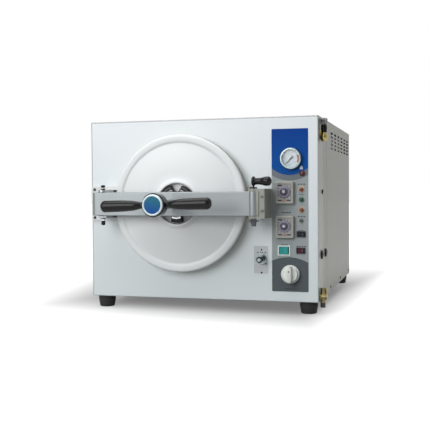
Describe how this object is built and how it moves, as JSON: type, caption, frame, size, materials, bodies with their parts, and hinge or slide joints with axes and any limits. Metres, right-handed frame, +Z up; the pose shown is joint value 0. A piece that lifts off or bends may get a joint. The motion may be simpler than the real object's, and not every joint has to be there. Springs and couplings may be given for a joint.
{
  "type": "benchtop autoclave",
  "caption": "Front-loading benchtop steam steriliser with a round door pressed shut by a hinged cross bar, T handle and latch, and a control strip on the right.",
  "frame": {"origin": "on the bench plane, under the middle of the overall box", "axes": "+Z up, -Y towards the operator, +X to the operator's right"},
  "size_m": [0.61, 0.927, 0.498],
  "materials": {
    "base_tray": "galvanised sheet",
    "feet": "matt black rubber",
    "front_panel": "light grey powder coat",
    "left_cover": "light grey powder coat",
    "right_cover": "light grey powder coat",
    "top_cover": "light grey powder coat",
    "back_panel": "light grey powder coat",
    "control_panel": "printed polycarbonate overlay",
    "chamber": "brushed stainless steel",
    "door_gasket": "pale silicone rubber",
    "insulation": "mineral fibre blanket",
    "heating_element": "heat-tinted steel sheath",
    "tray_rack": "stainless sheet",
    "lower_tray": "stainless sheet",
    "upper_tray": "stainless sheet",
    "water_tank": "translucent white plastic",
    "multiport_valve": "machined brass",
    "gauge_case": "satin steel",
    "gauge_dial": "white printed dial",
    "gauge_glass": "clear glass",
    "upper_timer_body": "light grey moulding",
    "lower_timer_body": "light grey moulding",
    "switch_housings": "grey moulding",
    "red_lamp": "dark red lens",
    "amber_lamps": "amber lens",
    "green_lamp": "green lens",
    "toggle_plate": "satin label plate",
    "toggle_bush": "bright plated",
    "hinge_bracket": "light grey powder coat",
    "hinge_pin": "blackened steel",
    "latch_bracket": "light grey powder coat",
    "relief_valve": "machined brass",
    "drain_cock": "machined brass",
    "side_caps": "black moulding",
    "mains_inlet": "black moulding",
    "pipework": "copper tube",
    "relay_board": "green laminate",
    "screws": "dark plated steel",
    "crossbar": "satin plated steel",
    "latch_pin": "bright plated",
    "latch_grip": "black phenolic",
    "spindle": "blackened steel",
    "handle_hub": "black phenolic",
    "hub_cap": "pale moulded ring",
    "left_grip": "black phenolic",
    "right_grip": "black phenolic",
    "door": "white enamel",
    "thrust_collar": "black enamelled casting",
    "gauge_needle": "black",
    "upper_timer_knob": "dark grey moulding",
    "lower_timer_knob": "dark grey moulding",
    "mains_rocker": "teal moulding",
    "heat_rocker": "black moulding",
    "dry_rocker": "dark red moulding",
    "reset_button": "black moulding",
    "toggle_lever": "dark bright plated",
    "valve_knob": "white moulding",
    "tank_cap": "black moulding",
    "relief_cap": "knurled plated cap",
    "drain_lever": "cast brass"
  },
  "bodies": {
    "case": {"base_tray": "base_tray", "feet": "feet", "front_panel": "front_panel", "left_cover": "left_cover", "right_cover": "right_cover", "top_cover": "top_cover", "back_panel": "back_panel", "control_panel": "control_panel", "chamber": "chamber", "door_gasket": "door_gasket", "insulation": "insulation", "heating_element": "heating_element", "tray_rack": "tray_rack", "lower_tray": "lower_tray", "upper_tray": "upper_tray", "water_tank": "water_tank", "multiport_valve": "multiport_valve", "gauge_case": "gauge_case", "gauge_dial": "gauge_dial", "gauge_glass": "gauge_glass", "upper_timer_body": "upper_timer_body", "lower_timer_body": "lower_timer_body", "switch_housings": "switch_housings", "red_lamp": "red_lamp", "amber_lamps": "amber_lamps", "green_lamp": "green_lamp", "toggle_plate": "toggle_plate", "toggle_bush": "toggle_bush", "hinge_bracket": "hinge_bracket", "hinge_pin": "hinge_pin", "latch_bracket": "latch_bracket", "relief_valve": "relief_valve", "drain_cock": "drain_cock", "side_caps": "side_caps", "mains_inlet": "mains_inlet", "pipework": "pipework", "relay_board": "relay_board", "screws": "screws"},
    "crossbar": {"crossbar": "crossbar"},
    "door": {"door": "door", "thrust_collar": "thrust_collar"},
    "handle": {"spindle": "spindle", "handle_hub": "handle_hub", "hub_cap": "hub_cap", "left_grip": "left_grip", "right_grip": "right_grip"},
    "latch": {"latch_pin": "latch_pin", "latch_grip": "latch_grip"},
    "needle": {"gauge_needle": "gauge_needle"},
    "upper_timer": {"upper_timer_knob": "upper_timer_knob"},
    "lower_timer": {"lower_timer_knob": "lower_timer_knob"},
    "mains_switch": {"mains_rocker": "mains_rocker"},
    "heat_switch": {"heat_rocker": "heat_rocker"},
    "dry_switch": {"dry_rocker": "dry_rocker"},
    "reset": {"reset_button": "reset_button"},
    "toggle": {"toggle_lever": "toggle_lever"},
    "valve": {"valve_knob": "valve_knob"},
    "filler": {"tank_cap": "tank_cap"},
    "relief": {"relief_cap": "relief_cap"},
    "drain": {"drain_lever": "drain_lever"}
  },
  "joints": [
    {"name": "bar_swing", "type": "hinge", "parent": "case", "child": "crossbar", "pos_m": [-0.243, -0.3045, 0.27], "axis": [0, 0, -1], "range_deg": [0, 115]},
    {"name": "door_press", "type": "slide", "parent": "crossbar", "child": "door", "axis": [0, -1, 0], "range_m": [0, 0.003]},
    {"name": "handle_turn", "type": "hinge", "parent": "door", "child": "handle", "pos_m": [-0.053, -0.4415, 0.27], "axis": [0, -1, 0], "range_deg": [0, 540]},
    {"name": "latch_turn", "type": "hinge", "parent": "case", "child": "latch", "pos_m": [0.143, -0.3045, 0.27], "axis": [0, 0, -1], "range_deg": [0, 90]},
    {"name": "needle_turn", "type": "hinge", "parent": "case", "child": "needle", "pos_m": [0.222, -0.2475, 0.37728], "axis": [0, 1, 0], "range_deg": [0, 270]},
    {"name": "upper_timer_turn", "type": "hinge", "parent": "case", "child": "upper_timer", "pos_m": [0.2068, -0.2535, 0.29749], "axis": [0, 1, 0], "range_deg": [0, 330]},
    {"name": "lower_timer_turn", "type": "hinge", "parent": "case", "child": "lower_timer", "pos_m": [0.2068, -0.2535, 0.21451], "axis": [0, 1, 0], "range_deg": [0, 330]},
    {"name": "mains_switch_rock", "type": "hinge", "parent": "case", "child": "mains_switch", "pos_m": [0.204, -0.2405, 0.15514], "axis": [0, 0, 1], "range_deg": [0, 12]},
    {"name": "heat_switch_rock", "type": "hinge", "parent": "case", "child": "heat_switch", "pos_m": [0.246, -0.2405, 0.19509], "axis": [0, 0, 1], "range_deg": [0, 12]},
    {"name": "dry_switch_rock", "type": "hinge", "parent": "case", "child": "dry_switch", "pos_m": [0.245, -0.2405, 0.15534], "axis": [0, 0, 1], "range_deg": [0, 12]},
    {"name": "reset_press", "type": "slide", "parent": "case", "child": "reset", "axis": [0, 1, 0], "range_m": [0, 0.003], "stiffness_N_per_m": 200, "springref_m": -0.001},
    {"name": "toggle_flip", "type": "hinge", "parent": "case", "child": "toggle", "pos_m": [0.1477, -0.2465, 0.1334], "axis": [1, 0, 0], "range_deg": [-12, 12]},
    {"name": "valve_turn", "type": "hinge", "parent": "case", "child": "valve", "pos_m": [0.2198, -0.2515, 0.09797], "axis": [0, 1, 0], "range_deg": [0, 270]},
    {"name": "cap_turn", "type": "hinge", "parent": "case", "child": "filler", "pos_m": [0.205, 0.2235, 0.49], "axis": [0, 0, 1], "range_deg": [0, 90]},
    {"name": "relief_lift", "type": "slide", "parent": "case", "child": "relief", "axis": [0, 0, 1], "range_m": [0, 0.003], "stiffness_N_per_m": 1500, "springref_m": -0.001},
    {"name": "drain_turn", "type": "hinge", "parent": "case", "child": "drain", "pos_m": [0.297, -0.2165, 0.042], "axis": [1, 0, 0], "range_deg": [0, 90]}
  ],
  "couplings": [
    {"joint": "door_press", "follows": "handle_turn", "m_per_rad": 0.00031831}
  ]
}
